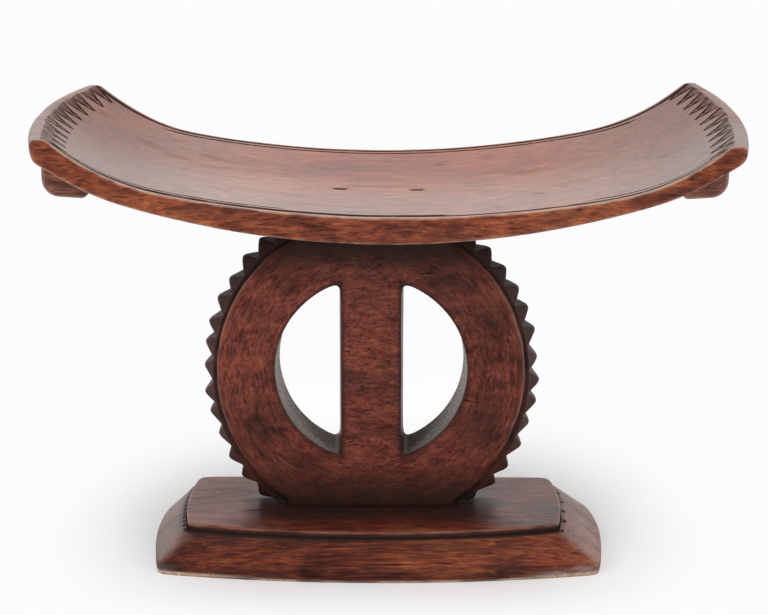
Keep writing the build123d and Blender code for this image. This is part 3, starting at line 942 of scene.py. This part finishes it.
def rubbed(corners, radii, steps):
    """An open line of corners, each but the first and the last rubbed round to a radius."""
    corners = np.array(corners, float)
    line = [corners[0]]
    for before, corner, after, radius in zip(corners, corners[1:], corners[2:], radii):
        back = (before - corner) / np.linalg.norm(before - corner)
        on = (after - corner) / np.linalg.norm(after - corner)
        half = np.arccos(np.clip(back @ on, -1, 1)) / 2
        centre = corner + (back + on) / np.linalg.norm(back + on) * radius / sin(half)
        first, last = (corner + way * radius / tan(half) - centre for way in (back, on))
        for t in np.linspace(0, 1, steps):
            ray = first + (last - first) * t
            line.append(centre + ray / np.linalg.norm(ray) * radius)
    return np.array(line + [corners[-1]])


def nose_profile():
    """The rolled end, outwards and down, as steps from the seat's end and from the nose's top."""
    crest, heel = np.array((-12.0, 0.0)), np.array((-0.8, -NOSE_HEIGHT))
    climb = 9.0 * np.array((cos(NOSE_TOP_SLOPE), sin(NOSE_TOP_SLOPE)))
    fall = 15.0 * np.array((cos(NOSE_UNDER_SLOPE), sin(NOSE_UNDER_SLOPE)))
    profile = rubbed((crest - climb, crest, (0, 0), heel, heel - fall), (4.0, 4.5, 12.0), 8)
    return np.insert(profile, NOSE_MIDDLE, (-6.2, 0.0), 0)


NOSE = nose_profile()


def half_length(y, left=False):
    """How far each end of the seat lies from its middle, at a depth. The back left corner is short."""
    stations = (SEAT_FRONT, SEAT_MIDDLE, SEAT_BACK)
    reach = 0.0
    for i in range(3):
        part = SEAT_LENGTHS[i] / 2
        for j in range(3):
            if j != i:
                part = part * (y - stations[j]) / (stations[i] - stations[j])
        reach = reach + part
    return reach - BACK_LEFT_SHORT * np.clip((y - 10.0) / (SEAT_BACK - 10.0), 0, 1) ** 2 * left


def twist(x, y):
    """The top was not cut quite true: its front left and back right corners stand a little high."""
    along, back = x - SEAT_SHIFT, y - SEAT_MIDDLE
    return SEAT_TWIST * along * back * np.where((along < 0) & (back > 0), 0.1, 1.0)


def blend_curve(x, start, end, heights, slopes):
    """A smooth run between two places, with its height and slope given at both."""
    span = end - start
    t = np.clip((x - start) / span, 0, 1)
    return (
        heights[0] * (1 + 2 * t) * (1 - t) ** 2
        + slopes[0] * span * t * (1 - t) ** 2
        + heights[1] * t * t * (3 - 2 * t)
        - slopes[1] * span * t * t * (1 - t)
    )


def bowed(out, end, middle, radius, span, step, slope):
    """Height of a surface that bows up from the middle, then climbs to one point of the nose."""
    drop = sqrt(radius**2 - span**2)
    heights = (middle + radius - drop, NOSE_TOP + NOSE[step, 1])
    climb = blend_curve(out, span, end, heights, (span / drop, tan(slope)))
    return np.where(out < span, middle + radius - np.sqrt(radius**2 - np.minimum(out, span) ** 2), climb)


def saddle(x, y):
    """Height of the seat's top."""
    out = np.abs(x - SEAT_SHIFT)
    end = half_length(y, x < SEAT_SHIFT)
    turn = end + NOSE[0, 0]
    rise = bowed(out, turn, SEAT_TOP, SADDLE_RADIUS, SADDLE_SPAN, 0, NOSE_TOP_SLOPE)
    nose = NOSE_TOP + np.interp(out - end, NOSE[: NOSE_MIDDLE + 1, 0], NOSE[: NOSE_MIDDLE + 1, 1])
    return np.where(out < turn, rise, nose) + twist(x, y)


def belly(x, y):
    """Height of the seat's underside."""
    end = half_length(y, x < SEAT_SHIFT) + NOSE[-1, 0]
    return bowed(
        np.abs(x - SEAT_SHIFT), end, SEAT_UNDER, UNDERSIDE_RADIUS, UNDER_SPAN, -1, NOSE_UNDER_SLOPE
    )


def end_line(side, step, depths):
    """One line along a raised end, at one point of its nose, from front to back."""
    x = SEAT_SHIFT + side * (half_length(depths, side < 0) + NOSE[step, 0])
    warp = twist(x, depths) * max(0.0, 1 + NOSE[step, 1] / NOSE_HEIGHT)
    return np.column_stack((x, depths, NOSE_TOP + NOSE[step, 1] + warp))


def sheet_loop(step, depths, spacing):
    """The plan of the top or the underside, between the lines at one point of each nose."""
    left, right = (end_line(side, step, depths)[:, :2] for side in (-1, 1))
    steps = int((right[0, 0] - left[0, 0]) / spacing)
    front = left[0] + (right[0] - left[0]) * np.linspace(0, 1, steps, endpoint=False)[:, None]
    back = right[-1] + (left[-1] - right[-1]) * np.linspace(0, 1, steps, endpoint=False)[:, None]
    return np.vstack((front, right[:-1], back, left[:0:-1])), steps


def fan_of_strokes():
    """The knife strokes that meet at one inner point of the zigzag, with their half widths."""
    strokes = []
    for side in (-1, 1):
        for out, bow, start, width in ((10.0, 0.7, 0.0, 1.3), (6.6, 0.7, 2.0, 1.0), (3.2, 0.3, 7.0, 0.95)):
            line = []
            for t, share in ((0, 0), (0.1, 1), (0.5, 0.9), (0.92, 0.85), (1, 0)):
                reach = start + (BAND_WIDTH - start) * t
                aside = side * (out * (reach / BAND_WIDTH) ** 0.9 - bow * sin(pi * reach / BAND_WIDTH))
                line.append((reach, aside, width * share))
            strokes.append(line)
    for out, start in ((-8.4, 14.0), (0.0, 12.5), (4.9, 14.5)):
        run = BAND_WIDTH + 0.8 - start
        shares = ((0, 0), (0.2, 1), (0.85, 0.9), (1, 0))
        strokes.append([(start + run * t, out * (0.9 + 0.1 * t), 0.85 * share) for t, share in shares])
    points, edges = [], []
    for stroke in strokes:
        edges += [(len(points) + i, len(points) + i + 1) for i in range(len(stroke) - 1)]
        points += stroke
    piece = drawn("fan_of_strokes", [(u, v, 0) for u, v, _ in points], edges)
    note(piece, "half_width", [width for _, _, width in points])
    return piece


def zigzag_setter():
    """Geometry nodes that set fans of strokes side by side along a line, a little unevenly."""
    inputs = {"Fan": "Object", "Fans": 12, "Uneven Turn": 0.10, "Uneven Reach": 0.18, "Seed": 1}
    tree, given = recipe("set_zigzag", {**inputs, "Wood": "Material"})
    curve = node(tree, "GeometryNodeMeshToCurve", sockets={"Mesh": given["Geometry"]})
    spread = {"Curve": curve, "Count": given["Fans"]}
    points = node(tree, "GeometryNodeCurveToPoints", {"mode": "COUNT"}, spread)
    square = node(
        tree, "FunctionNodeAxesToRotation", {"primary_axis": "Z", "secondary_axis": "Y"},
        {"Primary Axis": (0.0, 0.0, 1.0), "Secondary Axis": points.beside("Tangent")},
    )
    turn = luck(given["Seed"] + 1, -1.0, 1.0) * given["Uneven Turn"]
    swing = {"Rotation": square, "Rotate By": node(tree, "ShaderNodeCombineXYZ", sockets={"Z": turn})}
    spun = node(tree, "FunctionNodeRotateRotation", {"rotation_space": "LOCAL"}, swing)
    reach = 1.0 - luck(given["Seed"] + 2, 0.0, 1.0) * given["Uneven Reach"]
    size = node(tree, "ShaderNodeCombineXYZ", sockets={"X": reach, "Y": 1.0, "Z": 1.0})
    source = {"Object": given["Fan"]}
    fan = node(tree, "GeometryNodeObjectInfo", {"transform_space": "ORIGINAL"}, source, "Geometry")
    fans = node(
        tree, "GeometryNodeInstanceOnPoints",
        sockets={"Points": points, "Instance": fan, "Rotation": spun, "Scale": size},
    )
    return ended(fans, given["Wood"])


seat_wood = hardwood(
    "seat_hardwood",
    ((0.065, 0.014, 0.008), (0.165, 0.034, 0.014), (0.275, 0.060, 0.021), (0.390, 0.098, 0.029),
     (0.49, 0.158, 0.048)),
    stretch=(0.16, 1, 1),
    shift=(0.5, 0.2, 0.9),
    figure=(0.6, 0.6, 0.8),
    patina=0.30,
    crevice_shade=0.4,
    arris_wear_and_highlight=(0.46, 0.28, 0.19),
)


def zigzag(side, seed):
    """The strokes of one end's zigzag band, as lines of points with half widths."""
    depths = np.linspace(SEAT_FRONT + 15, SEAT_BACK - (16 if side < 0 else 13), 30)
    x = SEAT_SHIFT + side * (half_length(depths, side < 0) - BAND_INNER)
    line = [(u, v, 0) for u, v in zip(x, depths)][::side]
    guide = drawn("zigzag_line", line, [(i, i + 1) for i in range(len(line) - 1)])
    fan = fan_of_strokes()
    inputs = {"Fan": fan, "Fans": FANS, "Seed": seed, "Wood": seat_wood}
    marks = worked(guide, zigzag_setter(), "marks", inputs)
    place = read(marks.data.vertices, "co", 3)
    place[:, 1] = np.clip(place[:, 1], SEAT_FRONT + 4, SEAT_BACK - 4)
    place[:, 2:] = read(marks.data.attributes["half_width"].data, "value", 1)
    follow = dict(read(marks.data.edges, "vertices", 2, int).tolist())
    cuts = []
    for start in sorted(set(follow) - set(follow.values())):
        path = [start]
        while path[-1] in follow:
            path.append(follow[path[-1]])
        cuts.append(place[path])
    bpy.data.objects.remove(marks)
    bpy.data.objects.remove(fan)
    return cuts


def knife_line(depth, start, end, half_width):
    """One long line cut freehand beside an edge, wavering in place and width."""
    line = []
    for x in np.linspace(start, end, int((end - start) / 9)):
        waver = noise.noise(Vector((x / 30, depth, 0)))
        press = 1 + 0.35 * noise.noise(Vector((x / 14, depth, 5)))
        line.append((x, depth + 0.35 * waver, half_width * press))
    line = np.array(line)
    line[[0, -1], 2] = 0.0
    return line


seat_cuts = zigzag(-1, 3) + zigzag(1, 8)
for edge, inwards, from_left, from_right, half_width in (
    (SEAT_FRONT, 5.6, 7, 7, 1.8), (SEAT_FRONT, 8.6, 9, 210, 1.4), (SEAT_FRONT, 13.2, 12, 330, 1.3),
    (SEAT_FRONT, 12.0, 400, 12, 1.1), (SEAT_BACK, -6.5, 7, 7, 2.4), (SEAT_BACK, -15.5, 60, 50, 2.0),
):
    start = SEAT_SHIFT - half_length(edge, True) + from_left
    end = SEAT_SHIFT + half_length(edge) - from_right
    seat_cuts.append(knife_line(edge + inwards, start, end, half_width))
for x in (-29.4, 29.4):
    for depth, reach in ((-33.8, 6.5), (-30.6, 8.5)):
        shares = ((-1, 0), (-0.5, 1.5), (0.5, 1.5), (1, 0))
        seat_cuts.append(np.array([(x + share * reach, depth, width) for share, width in shares]))

depths = np.linspace(SEAT_FRONT + SEAT_ARRIS, SEAT_BACK - SEAT_ARRIS, 74)
top_loop, top_steps = sheet_loop(NOSE_MIDDLE, depths, TOP_SPACING)
under_loop, under_steps = sheet_loop(-1, depths, TOP_SPACING)
seat_holes = [circle(place, PEG_RADIUS + FIT) for place in PEG_PLACES]
neck_socket = housing(NECK_LENGTH)
lug_holes = [circle(place, LUG_PEG_RADIUS + FIT, 24) for place in LUG_PEG_PLACES]


def laid(height):
    """A way to lay flat points on the seat's top or on its underside."""
    return lambda flat: np.column_stack((flat, height(flat[:, 0], flat[:, 1])))


on_saddle, on_belly = laid(saddle), laid(belly)
seat_carving = Carving()
seat_carving.face([top_loop], on_saddle, TOP_SPACING, seat_cuts)
seat_carving.face([under_loop, neck_socket, *lug_holes], on_belly, 6.0)
seat_carving.shelf([neck_socket, *seat_holes], NECK_TOP, 8.0)
seat_carving.walls([on_belly(neck_socket), level(neck_socket, NECK_TOP)])
for hole in seat_holes:
    seat_carving.shaft(hole, PEG_TOP, NECK_TOP)
    seat_carving.shelf([hole], PEG_TOP, 8.0)
for hole in lug_holes:
    seat_carving.walls([on_belly(hole), level(hole, LUG_PEG_TOP)])
    seat_carving.shelf([hole], LUG_PEG_TOP, 8.0)
nose_steps = range(NOSE_MIDDLE, len(NOSE))
for side in (-1, 1):
    seat_carving.walls([end_line(side, step, depths) for step in nose_steps], closed=False)
for last, outward in ((0, -1), (-1, 1)):
    y = depths[last]
    left, right = (np.array([end_line(side, step, depths)[last] for step in nose_steps]) for side in (-1, 1))
    top = np.linspace(left[0, 0], right[0, 0], top_steps + 1)
    under = np.linspace(left[-1, 0], right[-1, 0], under_steps + 1)
    under_edge, top_edge = np.column_stack((under, belly(under, y))), np.column_stack((top, saddle(top, y)))
    profile = np.vstack((under_edge, right[-2:0:-1, [0, 2]], top_edge[::-1], left[1:-1, [0, 2]]))
    rounds = quarter_round(SEAT_ARRIS, 4)
    rings = [upright(inset(profile, by), y + outward * (SEAT_ARRIS - down)) for by, down in rounds]
    seat_carving.walls(rings)
    seat_carving.face([rings[-1][:, [0, 2]]], lambda p: upright(p, y + outward * SEAT_ARRIS), TOP_SPACING)
seat = seat_carving.finish("carved_seat", 0.5)
crisp(seat)
note_arris_turn(seat)
x, y, z = places(seat).T
out = np.abs(x - SEAT_SHIFT) - half_length(y, x < SEAT_SHIFT)
# A pale painted sheen lies over the top, strongest towards the front and the ends, and round both noses; the
# top darkens a little towards its ends, and knots are dark
from_middle = np.abs(y - SEAT_MIDDLE)
upper = ramp(z, belly(x, y) + 9.0, belly(x, y) + 13.0) * ramp(from_middle, 119.2, 117.5)
# a pale painted sheen round both noses
ends = (0.65 - 0.10 * (x > 0)) * ramp(out, -11.5, -7.0) * ramp(from_middle, 119.3, 117.0)
top_sheen = 0.42 * ramp(y, 45.0, -95.0) + 0.20 * ramp(x, 20.0, -230.0) + 0.31 * ramp(x, 120.0, 250.0) + 0.05
note(seat, "rubbed", np.maximum(ends, top_sheen * upper))
knots = spotted(
    x, y, ((219, -30, 8, 4, 0.45), (49.4, 54, 5, 3, 0.45), (-150, -20, 5, 2.5, 0.45), (120, -70, 5, 2, 0.45))
)
note(seat, "combed", upper)
darker_ends = np.maximum(0.18 * ramp(x, -90.0, -220.0), 0.23 * ramp(x, 110.0, 240.0))
note(seat, "sooty", np.maximum(knots, darker_ends) * upper)
seat.data.materials.append(seat_wood)
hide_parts("seat")
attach(seat, "root")

# ---------------------------------------------------------------- lugs

# Under each end of the seat sits a rounded grip of the same hardwood, by which the stool is lifted.
# Its arrises are rubbed down by hand, and one hidden peg holds it to the seat.

lug_wood = hardwood(
    "lug_hardwood",
    ((0.055, 0.017, 0.012), (0.130, 0.042, 0.027), (0.215, 0.072, 0.045), (0.30, 0.110, 0.066),
     (0.39, 0.160, 0.095)),
    shift=(0.8, 0.6, 0.3),
)


def rounded_copy(name, node_name):
    """A piece's solid with its sharp arrises rubbed down by hand."""
    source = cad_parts[node_name]
    shape = bmesh.new()
    shape.from_mesh(source.data)
    bmesh.ops.remove_doubles(shape, verts=shape.verts, dist=1e-6)
    bmesh.ops.recalc_face_normals(shape, faces=shape.faces)
    mesh = bpy.data.meshes.new(name)
    shape.to_mesh(mesh)
    shape.free()
    piece = placed(name, mesh)
    remesh = piece.modifiers.new("remesh", "REMESH")
    remesh.mode, remesh.voxel_size = "VOXEL", 0.0012
    smooth = piece.modifiers.new("rub", "SMOOTH")
    smooth.factor, smooth.iterations = 0.5, 7
    piece.data = finished(piece)
    return piece


for side in ("left", "right"):
    lug = rounded_copy(f"rubbed_lug_{side}", f"lug_{side}")
    lug.data.shade_smooth()
    note_arris_turn(lug)
    lug.data.materials.append(lug_wood)
    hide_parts(f"lug_{side}")
    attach(lug, "root")

# ---------------------------------------------------------------- pegs

# Straight round pegs of the same hardwood hold the storeys together: two between wheel and seat,
# one in each grip and two up through base and plinth into the wheel. They are a little darker.

peg_wood = hardwood(
    "peg_hardwood",
    ((0.020, 0.009, 0.008), (0.055, 0.021, 0.016), (0.095, 0.036, 0.026), (0.14, 0.055, 0.038),
     (0.18, 0.078, 0.052)),
    stretch=(1, 1, 0.08),
    shift=(0.2, 0.9, 0.1),
)
for name in ("seat_pegs", "base_pegs", "lug_pegs"):
    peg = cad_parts[name]
    if peg.material_slots:
        for material_slot in peg.material_slots:
            material_slot.material = peg_wood
    else:
        peg.data.materials.append(peg_wood)

# ---------------------------------------------------------------- studio

# The stool stands on a pale sweep of paper, lit softly from above and from both sides.
# What its oiled wood mirrors is nearly black in front, so that the dark faces stay dark.

FLOOR_HALF = 6.0
PALE = (0.975, 0.975, 0.98)


def dusky(way, front, back, least):
    """The paper's colour behind the stool, nearly black in front, for what the wood mirrors."""
    depth = node(way.tree, "ShaderNodeSeparateXYZ", sockets={"Vector": way}, output="Y")
    return mix(between(depth, front, back, least), (0, 0, 0), PALE)


corners = [(x * FLOOR_HALF, y * FLOOR_HALF, 0) for x, y in ((-1, -1), (1, -1), (1, 1), (-1, 1))]
floor = drawn("floor", corners, faces=[(0, 1, 2, 3)])
paper = bpy.data.materials.new("paper")
tree = cleared(paper)
spot = node(tree, "ShaderNodeTexCoord", output="Object")
spread = node(tree, "ShaderNodeVectorMath", {"operation": "MULTIPLY"}, {0: spot, 1: (1.5, 1.0, 1.0)})
away = node(tree, "ShaderNodeVectorMath", {"operation": "LENGTH"}, {"Vector": spread}, "Value")
path = node(tree, "ShaderNodeLightPath")
matt = node(tree, "ShaderNodeBsdfDiffuse", sockets={"Color": (0.96, 0.96, 0.97)})
glow = node(tree, "ShaderNodeEmission", sockets={"Color": PALE, "Strength": 1.0})
dusk = node(tree, "ShaderNodeEmission", sockets={"Color": dusky(spot, -0.12, 0.25, 0.02), "Strength": 1.0})
lit = either(between(away, 0.17, 0.45) * path.beside("Is Camera Ray"), matt, glow)
shown(either(path.beside("Is Glossy Ray"), lit, dusk))
floor.data.materials.append(paper)

scene = bpy.context.scene
scene.world = bpy.data.worlds.new("studio")
tree = cleared(scene.world)
path = node(tree, "ShaderNodeLightPath")
seen = path.beside("Is Camera Ray").maths("MAXIMUM", path.beside("Is Transmission Ray"))
heading = node(tree, "ShaderNodeTexCoord", output="Generated")
dim = node(tree, "ShaderNodeBackground", sockets={"Color": (1, 1, 1), "Strength": 0.42})
white = node(tree, "ShaderNodeBackground", sockets={"Color": PALE, "Strength": 1.0})
shade = dusky(heading, -0.50, 0.30, 0.01)
dusk = node(tree, "ShaderNodeBackground", sockets={"Color": shade, "Strength": 1.05})
shown(either(path.beside("Is Glossy Ray"), either(seen, dim, white), dusk), "ShaderNodeOutputWorld")

for name, place, aim, size, power in (
    ("overhead", (0.1, -0.3, 2.0), (0, 0, 0.2), 1.8, 30.0),
    ("left_window", (-1.6, -1.5, 1.2), (0, 0, 0.15), 1.2, 16.0),
    ("right_window", (1.7, -1.3, 1.0), (0, 0, 0.15), 1.2, 10.0),
):
    light = bpy.data.lights.new(name, "AREA")
    light.shape, light.size, light.energy = "DISK", size, power
    lamp = placed(name, light)
    lamp.location = place
    lamp.rotation_euler = (Vector(aim) - Vector(place)).to_track_quat("-Z", "Y").to_euler()
    lamp.visible_glossy = False

CAMERA_PLACE = (0.0082, -1.5023, 0.6485)
FOCAL_LENGTH = 91.875
PITCH, YAW, ROLL = 0.28925, -0.002647, 0.001172
forward = Vector((sin(YAW) * cos(PITCH), cos(YAW) * cos(PITCH), -sin(PITCH)))
across = Vector((cos(YAW), -sin(YAW), 0))
up = across.cross(forward)
tilted = across * cos(ROLL) + up * sin(ROLL)
up = up * cos(ROLL) - across * sin(ROLL)
camera_data = bpy.data.cameras.new("camera")
camera_data.lens, camera_data.sensor_width, camera_data.sensor_fit = FOCAL_LENGTH, 36.0, "HORIZONTAL"
camera = placed("camera", camera_data)
turned = Matrix((tilted, up, -forward)).transposed().to_4x4()
camera.matrix_world = Matrix.Translation(CAMERA_PLACE) @ turned
scene.camera = camera
scene.view_settings.view_transform = "Standard"
